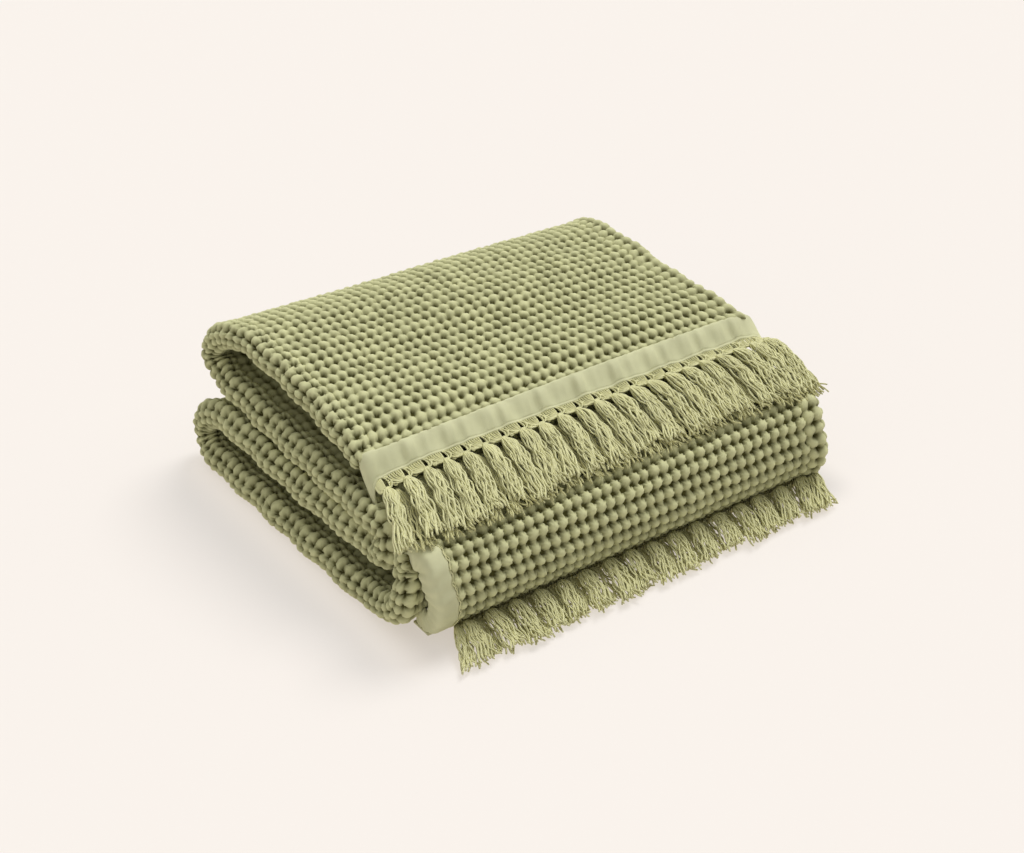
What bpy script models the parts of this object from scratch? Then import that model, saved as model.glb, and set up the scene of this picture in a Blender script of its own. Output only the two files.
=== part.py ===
"""Folded waffle weave cotton throw with a plain heading, a bound edge and tassel fringes.

The throw is folded back and forth into four sheets. Its last stretch curls up at the front,
turns over and comes down again as a thick rounded roll. X runs along the folds, -Y is the
front with the two fringes, and the throw lies on the plane Z = 0.
"""
import math
from collections import namedtuple

import bmesh
import bpy
from mathutils import Matrix, Vector

MM = 0.001

# ---- driving dimensions, in millimetres -------------------------------------------------
CLOTH_THICKNESS = 22.0          # chunky weave, cells of one face included
FOOTPRINT_CENTRE = (-11.5, -29.2)  # the fold table's own (x, y) below the middle of the throw
CLEARANCE = 0.4                 # between neighbouring pieces
ACROSS_STEPS = 10               # grid steps along the folds

HEADING_WIDTH = 22.0            # plain band along each fringed hem
HEADING_THICKNESS = 3.0
HEADING_SLOPE = 25.0            # degrees that the top heading falls towards the front
PUCKER_HEIGHT = 0.7             # soft waves of the heading
PUCKER_PITCH = 41.0
CORNER_DROOP = 4.0              # the top heading sinks at its near corner
CORNER_REACH = 26.0
SEAM_GAP = 0.6                  # between the cloth's hem and the heading

BINDING_WIDTH = 19.0            # binding on the face of the roll, at its near edge
BINDING_THICKNESS = 2.4
BINDING_ROWS = 13               # grid steps of the fold that it follows, up from the roll's end
BINDING_RETURN = 0.5            # how far it covers the inner half of the cloth's edge

TASSEL_COUNT = 22
TASSEL_PITCH = 19.4
TASSEL_FIRST_X = -205.0
LOBE_DEPTH = 6.5                # half-round loops that join heading and tassels
LOBE_STEPS = 4                  # grid steps along one loop
STRIP_WIDTH = 3.0               # the strip that carries the tassels
STRIP_THICKNESS = 3.0
STRIP_OVERHANG = 0.36           # of a pitch, past the middle of the outermost tassels
HEAD_SIZE = (8.0, 6.0, 7.0)     # width, height and length of a tassel's head
HEAD_BACK = (0.75, 0.6)         # width and height of its back end, as a share of the front

# ---- the folded section -----------------------------------------------------------------
# One row for each place that the middle of the cloth passes, from the top hem to the end
# under the roll. y and z are given at the near end (low X) and at the far end, heading is
# the way the cloth runs there (0 = to the back, 90 = up), before and after are the lengths
# of its curve handles, near and far are the x of the cloth's two edges, thick is the share
# of the full thickness, sway is the height of its soft waves, crown is how much higher it
# lies midway between its edges, and steps is the number of grid steps to the next row.
Place = namedtuple("Place", "name y_near z_near y_far z_far heading before after "
                            "near far thick sway crown steps")
FOLD = [
    Place("hem", -83.0, 118.5, -82.0, 117.0, 25, 0, 8, -213, 194, 0.55, 0.0, 3.0, 4),
    Place("above the hem", -58.0, 127.0, -58.0, 124.0, 15, 9, 22, -213, 182, 1.0, 0.8, 3.0, 6),
    Place("top, middle", 8.0, 137.5, 8.0, 130.5, 6, 25, 34, -212, 173, 1.0, 1.2, 0.0, 6),
    Place("top, back", 102.0, 142.0, 93.0, 131.0, -3, 34, 62, -213, 174, 1.0, 0.6, 0.0, 11),
    Place("second, back", 126.0, 86.5, 110.0, 80.5, 182, 68, 40, -217, 180, 1.0, 0.0, 0.0, 6),
    Place("second, middle", 0.0, 83.0, 0.0, 80.0, 180, 40, 40, -219, 186, 1.0, 0.4, 0.0, 6),
    Place("second, front", -119.0, 82.0, -119.0, 79.5, 180, 36, 16.7, -220, 188, 1.0, 0.0, 0.0, 8),
    Place("third, front", -119.0, 57.0, -119.0, 54.5, 0, 16.7, 36, -222, 190, 1.0, 0.0, 0.0, 6),
    Place("third, middle", 0.0, 55.5, 0.0, 52.5, 0, 40, 40, -226, 193, 1.0, 0.4, 0.0, 6),
    Place("third, back", 114.0, 59.5, 104.0, 56.0, 0, 36, 60, -229, 194, 1.0, 0.0, 0.0, 10),
    Place("floor, back", 130.0, 11.0, 120.0, 11.0, 180, 50, 40, -233, 196, 1.0, 0.0, 0.0, 6),
    Place("floor, middle", 0.0, 11.0, 0.0, 11.0, 180, 40, 36, -232, 196, 1.0, 0.0, 0.0, 6),
    Place("floor, front", -100.0, 11.0, -100.0, 11.0, 180, 36, 40, -230, 195, 1.0, 0.0, 0.0, 7),
    Place("curl, inner wall", -165.0, 42.0, -165.0, 42.0, 88, 20, 7, -227, 194, 1.0, 0.0, 0.0, 2),
    Place("curl, inner top", -160.0, 60.0, -160.0, 60.0, 70, 7, 17.3, -223, 192, 1.0, 0.0, 0.0, 9),
    Place("roll, top", -184.4, 68.9, -184.4, 68.9, 250, 17.3, 9, -216, 190, 1.0, 0.0, 0.0, 4),
    Place("roll, face", -191.5, 43.0, -191.5, 43.0, 270, 9, 17, -214, 191, 1.0, 0.0, 0.0, 7),
    Place("roll, end", -169.0, 12.5, -169.0, 12.5, 6, 12, 0, -213, 190, 0.5, 0.0, 0.0, 0),
]
WAVE_PITCH = 230.0              # of the soft waves along the folds
EDGE_WAVE = 1.2                 # uneven side edges
EDGE_WAVE_PITCH = 57.0

# ---- tassels that hang from the top heading -----------------------------------------------
# One row for each stretch of the fringe: where it is along X, how far its tips lie to the
# side of their heads, and the y and z of the tips.
Hang = namedtuple("Hang", "x aside tip_y tip_z")
HANGS = [
    Hang(-205.0, -25.0, -176.0, 93.0),
    Hang(-186.0, -15.0, -175.0, 95.0),
    Hang(-150.0, -13.0, -176.0, 95.5),
    Hang(-60.0, -7.0, -174.0, 95.5),
    Hang(60.0, 0.0, -173.0, 95.5),
    Hang(165.0, 4.0, -174.0, 95.5),
    Hang(203.0, 6.0, -174.0, 94.0),
]
FRONT_LOCKS = (3, 2)            # locks of a tassel in the first row: side by side, and layers
HEAD_SINK = 1.5                 # how far a head's front stands past its loop
TASSEL_ARCH = 5.0               # how far a tassel bows up between its head and its tips
TASSEL_SPREAD = 1.95            # width of the tips over that of the head
TIP_LENGTH_VARIES = 2.2
TIP_ASIDE_VARIES = 1.3
LOCK_LENGTH_VARIES = 1.8
LOCK_SLIM = (0.92, 0.72)        # share of its lane that a lock fills, at its root and tip
LAYER_GAP = 0.75                # from layer to layer, in heights of the head

UNDER_LOCKS = (3, 1)            # the same for the second row, below the first
UNDER_HEAD_SIZE = (6.8, 3.3)    # its heads are smaller
UNDER_HEAD_SINK = 5.5           # stand past the strip's edge by this much
UNDER_HEAD_DROP = 1.7           # and sit this much lower
UNDER_ARCH = 2.0
UNDER_DROP = 4.0                # its tips are lower
UNDER_LONGER = 4.0              # and reach farther forward
UNDER_ASIDE = 3.0

# ---- tassels on the floor -----------------------------------------------------------------
FLOOR_ROOT_Y = -176.0           # back of their strip, under the roll
FLOOR_TASSEL_COUNT = 21
FLOOR_TASSEL_PITCH = 18.9
FLOOR_FIRST_X = -196.0
FLOOR_TIP_Y = (-231.0, -220.0)  # at the near and the far end
FLOOR_TIP_Y_VARIES = 2.4
FLOOR_TIP_ASIDE_VARIES = 3.0
FLOOR_STRIP_WIDTH = 4.0
FLOOR_LOCKS = 4
FLOOR_HEAD_SIZE = (11.0, 6.0, 7.0)
FLOOR_LOCK_HEIGHTS = (5.0, 4.0)  # half way along, and at the tips
FLOOR_LOCK_SLIM = 0.8
FLOOR_SPREAD = 1.55

SAGE = (0.407, 0.400, 0.237)
SAGE_PLAIN = (0.440, 0.432, 0.262)
SAGE_YARN = (0.470, 0.448, 0.250)


def wave(value, pitch, shift=0.0):
    return math.sin(2 * math.pi * value / pitch + shift)


def blend(a, b, share):
    return a + (b - a) * share


# ---- fold geometry ------------------------------------------------------------------------
def place_point(place, share):
    """The cloth's middle at one row of the table, share of the way from near to far."""
    return Vector((blend(place.y_near, place.y_far, share), blend(place.z_near, place.z_far, share)))


def direction(degrees):
    return Vector((math.cos(math.radians(degrees)), math.sin(math.radians(degrees))))


def bezier(p0, p1, p2, p3, t):
    s = 1 - t
    return p0 * s ** 3 + p1 * (3 * s * s * t) + p2 * (3 * s * t * t) + p3 * t ** 3


def bezier_direction(p0, p1, p2, p3, t):
    s = 1 - t
    return ((p1 - p0) * (s * s) + (p2 - p1) * (2 * s * t) + (p3 - p2) * (t * t)).normalized()


def fold_spans():
    """Every grid step of the fold, as (row, next row, share of the way between them)."""
    spans = []
    for place, after in zip(FOLD, FOLD[1:]):
        spans += [(place, after, step / place.steps) for step in range(place.steps)]
    spans.append((FOLD[-2], FOLD[-1], 1.0))
    return spans


def cloth_point(span, share, raised=0.0):
    """A point on the cloth: raised millimetres off its middle, to the side of its top face."""
    place, after, t = span
    start, end = place_point(place, share), place_point(after, share)
    handles = (start, start + direction(place.heading) * place.after,
               end - direction(after.heading) * after.before, end)
    middle = bezier(*handles, t)
    along = bezier_direction(*handles, t)
    near, far = blend(place.near, after.near, t), blend(place.far, after.far, t)
    edge = EDGE_WAVE * wave(middle.x + middle.y, EDGE_WAVE_PITCH)
    x = blend(near + edge * (1 - share), far + edge * share, share)
    sway = blend(place.sway, after.sway, t) * wave(x, WAVE_PITCH, middle.x / WAVE_PITCH)
    crown = blend(place.crown, after.crown, t) * 4 * share * (1 - share)
    middle += Vector((-along.y, along.x)) * raised
    return Vector((x, middle.x, middle.y + sway + crown))


def to_world(point):
    """From the fold table's millimetres to metres about the middle of the footprint."""
    x, y, z = point
    return Vector((x - FOOTPRINT_CENTRE[0], y - FOOTPRINT_CENTRE[1], z)) * MM


# ---- modelling helpers --------------------------------------------------------------------
def collection(name):
    made = bpy.data.collections.new(name)
    bpy.context.scene.collection.children.link(made)
    return made


def cotton(name, colour):
    material = bpy.data.materials.new(name)
    material.use_nodes = True
    shader = material.node_tree.nodes["Principled BSDF"]
    shader.inputs["Base Color"].default_value = (*colour, 1)
    shader.inputs["Roughness"].default_value = 0.95
    shader.inputs["Metallic"].default_value = 0.0
    return material


def add_object(name, bm, material, target):
    mesh = bpy.data.meshes.new(name)
    bm.to_mesh(mesh)
    bm.free()
    mesh.materials.append(material)
    made = bpy.data.objects.new(name, mesh)
    target.objects.link(made)
    return made


def sheet_grid(columns, rows, point_at):
    """A grid of columns by rows steps, each vertex moved to point_at(column, row)."""
    bm = bmesh.new()
    bmesh.ops.create_grid(bm, x_segments=columns, y_segments=rows, size=1.0)
    for vert in bm.verts:
        column = round((vert.co.x + 1) / 2 * columns)
        row = round((vert.co.y + 1) / 2 * rows)
        vert.co = to_world(point_at(column, row))
    return bm


def thicken(made, thickness, shares=None):
    """Solidify about the middle; shares gives each vertex its part of the thickness."""
    solid = made.modifiers.new("Thickness", "SOLIDIFY")
    solid.thickness = thickness * MM
    solid.offset = 0.0
    solid.use_even_offset = True
    solid.use_quality_normals = True
    if shares:
        group = made.vertex_groups.new(name="Thickness")
        for index, share in enumerate(shares):
            group.add([index], share, "REPLACE")
        solid.vertex_group = group.name
    return solid


# ---- the cloth ----------------------------------------------------------------------------
def make_cloth(target):
    spans = fold_spans()
    rows = len(spans) - 1

    def point_at(column, row):
        return cloth_point(spans[row], column / ACROSS_STEPS)

    bm = sheet_grid(ACROSS_STEPS, rows, point_at)
    columns = ACROSS_STEPS + 1
    shares = []
    for vert in bm.verts:
        place, after, t = spans[vert.index // columns]
        shares.append(blend(place.thick, after.thick, t))
    made = add_object("cloth", bm, cotton("cotton_weave", SAGE), target)
    thicken(made, CLOTH_THICKNESS, shares)


# ---- the plain heading along the top hem ----------------------------------------------------
def near_corner(x):
    """1 at the cloth's near edge, falling to 0 away from it."""
    return math.exp(-((x - FOLD[0].near) / CORNER_REACH) ** 2)


def hem_point(x, below):
    """A point of the top heading, so many millimetres below the cloth's end."""
    share = (x - FOLD[0].near) / (FOLD[0].far - FOLD[0].near)
    start = cloth_point((FOLD[0], FOLD[1], 0.0), share)
    slope = direction(180 + HEADING_SLOPE)
    droop = CORNER_DROOP * near_corner(x) * below / HEADING_WIDTH
    pucker = PUCKER_HEIGHT * wave(x, PUCKER_PITCH) * min(1.0, below / HEADING_WIDTH)
    return Vector((x, start.y + slope.x * below, start.z + slope.y * below - droop + pucker))


def make_top_heading(target):
    columns, rows = 42, 3
    near, far = FOLD[0].near, FOLD[0].far

    def point_at(column, row):
        x = blend(near, far, column / columns)
        return hem_point(x, blend(SEAM_GAP, HEADING_WIDTH, row / rows))

    bm = sheet_grid(columns, rows, point_at)
    made = add_object("top_heading", bm, cotton("cotton_heading", SAGE_PLAIN), target)
    thicken(made, HEADING_THICKNESS)


# ---- the binding of the roll's near edge ----------------------------------------------------
def make_side_binding(target):
    """A strip that lies on the roll's face and turns round its near edge."""
    spans = fold_spans()[-BINDING_ROWS - 1:-1]
    rows = len(spans) - 1
    face_steps, turn_steps = 2, 3
    columns = face_steps + turn_steps + 1
    off_cloth = BINDING_THICKNESS / 2 + 2 * CLEARANCE

    def point_at(column, row):
        span = spans[row]
        place, after, t = span
        half = CLOTH_THICKNESS / 2 * blend(place.thick, after.thick, t)
        if column <= face_steps:
            inward = BINDING_WIDTH * (1 - column / face_steps)
            off = half + off_cloth
        elif column <= face_steps + turn_steps:
            angle = (column - face_steps) / turn_steps * math.pi / 2
            inward = -off_cloth * math.sin(angle)
            off = half + off_cloth * math.cos(angle)
        else:
            inward = -off_cloth
            off = -BINDING_RETURN * half
        point = cloth_point(span, 0.0, -off)
        point.x += inward
        return point

    bm = sheet_grid(columns, rows, point_at)
    made = add_object("side_binding", bm, cotton("cotton_binding", SAGE_PLAIN), target)
    thicken(made, BINDING_THICKNESS)


# ---- the heading under the roll ---------------------------------------------------------------
def make_bottom_heading(target):
    columns, rows = 8, 1
    near, far = FOLD[-1].near + EDGE_WAVE, FOLD[-1].far - EDGE_WAVE

    def point_at(column, row):
        x = blend(near, far, column / columns)
        y = FLOOR_ROOT_Y + CLEARANCE + HEADING_WIDTH * row / rows
        return Vector((x, y, HEADING_THICKNESS / 2))

    bm = sheet_grid(columns, rows, point_at)
    made = add_object("bottom_heading", bm, cotton("cotton_heading_below", SAGE_PLAIN), target)
    thicken(made, HEADING_THICKNESS)


# ---- tassels --------------------------------------------------------------------------------
def lock_roots(wide, high, size):
    """A head: a block whose front face (-Y) is a grid of wide by high quads.

    It returns the mesh and the front faces, from which the locks grow.
    """
    bm = bmesh.new()
    bmesh.ops.create_grid(bm, x_segments=wide, y_segments=high, size=0.5)
    width, height, length = size
    for vert in bm.verts:
        x, z = vert.co.x * width, vert.co.y * height
        vert.co = Vector((x, 0.0, z))
    front = list(bm.faces)
    grown = bmesh.ops.extrude_face_region(bm, geom=front, use_keep_orig=True)
    for item in grown["geom"]:
        if isinstance(item, bmesh.types.BMVert):
            item.co = Vector((item.co.x * HEAD_BACK[0], length, item.co.z * HEAD_BACK[1]))
    bmesh.ops.recalc_face_normals(bm, faces=bm.faces)
    return bm, front


def grow_lock(bm, face, centres, sizes):
    """Extrude one front face through centres; sizes are its (width, height) at each."""
    for centre, (width, height) in zip(centres, sizes):
        grown = bmesh.ops.extrude_discrete_faces(bm, faces=[face])
        face = grown["faces"][0]
        middle = face.calc_center_median()
        span_x = max(vert.co.x for vert in face.verts) - min(vert.co.x for vert in face.verts)
        span_z = max(vert.co.z for vert in face.verts) - min(vert.co.z for vert in face.verts)
        for vert in face.verts:
            offset = vert.co - middle
            vert.co = centre + Vector((offset.x / span_x * width, 0.0, offset.z / span_z * height))


def hang_at(x):
    """The row of HANGS for this x, blended between its two neighbours."""
    x = min(max(x, HANGS[0].x), HANGS[-1].x)
    for before, after in zip(HANGS, HANGS[1:]):
        if x <= after.x:
            share = (x - before.x) / (after.x - before.x)
            return Hang(x, *(blend(a, b, share) for a, b in zip(before[1:], after[1:])))
    return HANGS[-1]


def top_tassel(index, x, under):
    """One tassel of the top fringe; under marks the second row, below the first."""
    width, height, length = HEAD_SIZE
    (wide, high), arch, sink = FRONT_LOCKS, TASSEL_ARCH, LOBE_DEPTH + HEAD_SINK
    if under:
        width, height = UNDER_HEAD_SIZE
        (wide, high), arch, sink = UNDER_LOCKS, UNDER_ARCH, UNDER_HEAD_SINK
    bm, front = lock_roots(wide, high, (width, height, length))
    hang = hang_at(x)
    root = hem_point(x, HEADING_WIDTH + STRIP_WIDTH + sink)
    uneven = (wave(index, 3.7) + 0.6 * wave(index, 2.3, 1.0)) * TIP_LENGTH_VARIES
    tip = Vector((x + hang.aside + TIP_ASIDE_VARIES * wave(index, 4.4),
                  hang.tip_y + uneven, hang.tip_z + uneven / 4))
    if under:
        root.z -= UNDER_HEAD_DROP
        tip += Vector((UNDER_ASIDE, -UNDER_LONGER, -UNDER_DROP))
    lanes = [face.calc_center_median() for face in front]
    tilt = Matrix.Rotation(math.radians(HEADING_SLOPE), 3, "X")
    for vert in bm.verts:
        vert.co = root + tilt @ vert.co
    for face, lane in zip(front, lanes):
        centres, sizes = [], []
        for share in (0.5, 1.0):
            spread = blend(1.0, TASSEL_SPREAD, share)
            centre = root.lerp(tip, share)
            centre.x += lane.x * spread
            centre.y -= LOCK_LENGTH_VARIES * wave(index + lane.x / 3, 2.7) * share
            centre.z += arch * 4 * share * (1 - share) + lane.z * LAYER_GAP
            centres.append(centre)
            slim = blend(*LOCK_SLIM, share)
            sizes.append((width / wide * spread * slim, height / high * slim))
        grow_lock(bm, face, centres, sizes)
    return bm


def floor_tassel(index, x):
    """One tassel that lies on the floor; the underside of all its locks is at Z = 0."""
    width, height, length = FLOOR_HEAD_SIZE
    bm, front = lock_roots(FLOOR_LOCKS, 1, FLOOR_HEAD_SIZE)
    root_y = FLOOR_ROOT_Y - STRIP_WIDTH - length
    lanes = [face.calc_center_median().x for face in front]
    for vert in bm.verts:
        lift = height / 2 * (HEAD_BACK[1] if vert.co.y > length / 2 else 1.0)
        vert.co += Vector((x, root_y, lift))
    uneven = (wave(index, 3.3, 0.5) + 0.5 * wave(index, 2.1)) * FLOOR_TIP_Y_VARIES
    tip_y = blend(*FLOOR_TIP_Y, index / (FLOOR_TASSEL_COUNT - 1)) + uneven
    aside = FLOOR_TIP_ASIDE_VARIES * wave(index, 5.2)
    for face, lane in zip(front, lanes):
        centres, sizes = [], []
        for share, lock_height in zip((0.5, 1.0), FLOOR_LOCK_HEIGHTS):
            spread = blend(1.0, FLOOR_SPREAD, share)
            reach = tip_y + LOCK_LENGTH_VARIES * wave(index + lane / 3, 2.9)
            centres.append(Vector((x + lane * spread + aside * share, blend(root_y, reach, share),
                                   lock_height / 2)))
            sizes.append((width / FLOOR_LOCKS * spread * FLOOR_LOCK_SLIM, lock_height))
        grow_lock(bm, face, centres, sizes)
    return bm


def join_tassels(strip, tassels, cutters):
    """Unite the strip with its tassels by one Boolean union."""
    holder = bpy.data.collections.new(strip.name + "_tassels")
    cutters.children.link(holder)
    for number, bm in enumerate(tassels):
        for vert in bm.verts:
            vert.co = to_world(vert.co)
        mesh = bpy.data.meshes.new(f"{strip.name}_tassel_{number}")
        bm.to_mesh(mesh)
        bm.free()
        tassel = bpy.data.objects.new(mesh.name, mesh)
        tassel.hide_render = True
        tassel.display_type = "WIRE"
        holder.objects.link(tassel)
    union = strip.modifiers.new("Tassels", "BOOLEAN")
    union.operation = "UNION"
    union.operand_type = "COLLECTION"
    union.collection = holder
    union.solver = "EXACT"


def make_top_fringe(target, cutters):
    columns, rows = TASSEL_COUNT * LOBE_STEPS, 2
    near = TASSEL_FIRST_X - TASSEL_PITCH * STRIP_OVERHANG
    far = TASSEL_FIRST_X + TASSEL_PITCH * (TASSEL_COUNT - 1 + STRIP_OVERHANG)

    def point_at(column, row):
        x = blend(near, far, column / columns)
        lobe = abs(math.cos(math.pi * (x - TASSEL_FIRST_X) / TASSEL_PITCH))
        depth = STRIP_WIDTH + LOBE_DEPTH * lobe
        return hem_point(x, HEADING_WIDTH + 2 * CLEARANCE + depth * row / rows)

    bm = sheet_grid(columns, rows, point_at)
    strip = add_object("top_fringe", bm, cotton("cotton_yarn", SAGE_YARN), target)
    thicken(strip, STRIP_THICKNESS)
    tassels = []
    for index in range(TASSEL_COUNT):
        x = TASSEL_FIRST_X + TASSEL_PITCH * index
        tassels.append(top_tassel(index, x, under=False))
        if index < TASSEL_COUNT - 1:
            tassels.append(top_tassel(index, x + TASSEL_PITCH / 2, under=True))
    join_tassels(strip, tassels, cutters)


def make_bottom_fringe(target, cutters):
    columns, rows = 10, 1
    pitch = FLOOR_TASSEL_PITCH
    near = FLOOR_FIRST_X - pitch * STRIP_OVERHANG
    far = FLOOR_FIRST_X + pitch * (FLOOR_TASSEL_COUNT - 1 + STRIP_OVERHANG)

    def point_at(column, row):
        x = blend(near, far, column / columns)
        return Vector((x, FLOOR_ROOT_Y - FLOOR_STRIP_WIDTH * row / rows, STRIP_THICKNESS / 2))

    bm = sheet_grid(columns, rows, point_at)
    strip = add_object("bottom_fringe", bm, cotton("cotton_yarn_below", SAGE_YARN), target)
    thicken(strip, STRIP_THICKNESS)
    tassels = [floor_tassel(index, FLOOR_FIRST_X + pitch * index)
               for index in range(FLOOR_TASSEL_COUNT)]
    join_tassels(strip, tassels, cutters)


def main():
    for thing in list(bpy.data.objects):
        bpy.data.objects.remove(thing, do_unlink=True)
    throw = collection("waffle_weave_throw")
    cutters = collection("tassels_to_join")
    make_cloth(throw)
    make_top_heading(throw)
    make_side_binding(throw)
    make_bottom_heading(throw)
    make_top_fringe(throw, cutters)
    make_bottom_fringe(throw, cutters)


main()
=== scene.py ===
"""The looks of the folded waffle weave throw: weave, headings, binding, loops and tassels.

All sizes are in millimetres in the fold table's own frame until to_world turns them into
metres about the middle of the footprint.
"""

import math
from collections import namedtuple

import bpy
import numpy as np
from mathutils import Matrix, Vector


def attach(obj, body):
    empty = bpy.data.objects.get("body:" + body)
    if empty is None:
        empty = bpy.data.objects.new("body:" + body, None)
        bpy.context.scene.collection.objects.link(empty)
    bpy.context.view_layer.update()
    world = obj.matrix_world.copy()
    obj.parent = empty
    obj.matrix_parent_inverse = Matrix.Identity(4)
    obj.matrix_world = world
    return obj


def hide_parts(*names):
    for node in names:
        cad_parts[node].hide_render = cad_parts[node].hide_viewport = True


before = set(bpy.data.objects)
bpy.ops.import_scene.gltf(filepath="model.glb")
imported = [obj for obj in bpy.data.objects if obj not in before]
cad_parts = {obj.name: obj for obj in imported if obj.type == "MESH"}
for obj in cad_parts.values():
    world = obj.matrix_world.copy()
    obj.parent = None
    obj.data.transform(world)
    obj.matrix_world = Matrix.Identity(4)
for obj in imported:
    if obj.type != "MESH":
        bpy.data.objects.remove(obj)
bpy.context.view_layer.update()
rng = np.random.default_rng(7)

MM = 0.001
FOOTPRINT_CENTRE = (-11.5, -29.2)

# ---- the folded section, as in the part's own source ----------------------------------------
HEADING_WIDTH = 22.0
HEADING_SLOPE = 25.0            # how steeply the top heading falls, in degrees
PUCKER_PITCH = 41.0
CORNER_DROOP = 4.0              # the heading's near corner hangs this much lower
CORNER_REACH = 26.0
Place = namedtuple("Place", "name y_near z_near y_far z_far heading before after near far "
                            "thick sway crown", defaults=(1, 0, 0))
FOLD = [
    Place("hem", -83, 118.5, -82, 117, 25, 0, 8, -213, 194, 0.55, 0, 3),
    Place("above the hem", -58, 127, -58, 124, 15, 9, 22, -213, 182, 1, 0.8, 3),
    Place("top, middle", 8, 137.5, 8, 130.5, 6, 25, 34, -212, 173, 1, 1.2, 0),
    Place("top, back", 102, 142, 93, 131, -3, 34, 62, -213, 174, 1, 0.6),
    Place("second, back", 126, 86.5, 110, 80.5, 182, 68, 40, -217, 180),
    Place("second, middle", 0, 83, 0, 80, 180, 40, 40, -219, 186, 1, 0.4),
    Place("second, front", -119, 82, -119, 79.5, 180, 36, 16.7, -220, 188),
    Place("third, front", -119, 57, -119, 54.5, 0, 16.7, 36, -222, 190),
    Place("third, middle", 0, 55.5, 0, 52.5, 0, 40, 40, -226, 193, 1, 0.4),
    Place("third, back", 114, 59.5, 104, 56, 0, 36, 60, -229, 194),
    Place("floor, back", 130, 11, 120, 11, 180, 50, 40, -233, 196),
    Place("floor, middle", 0, 11, 0, 11, 180, 40, 36, -232, 196),
    Place("floor, front", -100, 11, -100, 11, 180, 36, 40, -230, 195),
    Place("curl, inner wall", -165, 42, -165, 42, 88, 20, 7, -227, 194),
    Place("curl, inner top", -160, 60, -160, 60, 70, 7, 17.3, -223, 192),
    Place("roll, top", -184.4, 68.9, -184.4, 68.9, 250, 17.3, 9, -216, 190),
    Place("roll, face", -191.5, 43, -191.5, 43, 270, 9, 17, -214, 191),
    Place("roll, end", -169, 12.5, -169, 12.5, 6, 12, 0, -213, 190, 0.5, 0, 0),
]
COLUMNS = {field: np.array([getattr(place, field) for place in FOLD], float)
           for field in Place._fields if field != "name"}
ROW = {place.name: number for number, place in enumerate(FOLD)}
LAST_ROW = len(FOLD) - 1
FINE_ROWS = np.linspace(0, LAST_ROW, 3401)
HEM_NEAR, HEM_FAR = FOLD[0].near, FOLD[0].far
WAVE_PITCH = 230.0              # from crest to crest of the sway
EDGE_WAVE = 1.2                 # the side edges wander by this much
EDGE_WAVE_PITCH = 57.0
# soft troughs and ridges of the top layer: middle, run, half sizes, rise
Crease = namedtuple("Crease", "x y run length breadth rise")
CREASES = [
    Crease(-125.0, 45.0, 65.0, 85.0, 20.0, -2.0),
    Crease(-30.0, 70.0, 150.0, 95.0, 26.0, 1.6),
    Crease(55.0, -15.0, 25.0, 110.0, 22.0, -1.8),
    Crease(135.0, 60.0, 105.0, 75.0, 20.0, -1.7),
    Crease(-165.0, -25.0, 95.0, 60.0, 18.0, 1.2),
]
CREASE_END_Y = 110.0            # they fade out before the top turns down at the back

# ---- the weave ------------------------------------------------------------------------------
CORE_HALF = 6.4                 # half the thickness of the cloth between its puffs
PUFF_HEIGHT = 5.2               # about how high the puffs stand above that
PUFF_COLUMNS = 40               # puffs from edge to edge
PUFF_ROW_PITCH = 11.2           # from row to row along the cloth
ROLL_ROW_PITCH = 12.2           # and over the front roll
FIRST_ROW = 4.0                 # where the first row begins, from the cloth's end
EDGE_OUT = 1.8                  # the rounded edges reach this much past the table's edges
EDGE_INSET = CORE_HALF - EDGE_OUT
EDGE_PITCH = 11.6               # from knot to knot along the edges
EDGE_FULLER = (2.2, 4.0)        # the edges are this much fuller: on top, in the lower layers
EDGE_LAP = 11.5                 # their first line begins this far in on the faces
EDGE_LINES = (37.0, 0.0, -37.0)  # the angles where their lines of knots part
SUNK = 3.0                      # the relief's back lies this deep in the cloth's core
GRID_SPREAD = (0.032, 0.038)    # the weave's grid wanders by this share of a puff
CAP_SPREAD = 0.05               # how uneven the puffs' heights are
GIRTH_SPREAD = 0.04             # and their sizes
NUDGE_SPREAD = 0.035            # and their places
DOME_POWERS = (2.3, 0.62)       # a puff's flatness on top and its steepness at the rim
# painted shade: the colour's share on the ground between puffs and pits, darker than their tops
GROUND_SHADE = 0.60              # the tone between puffs and pits
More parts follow.
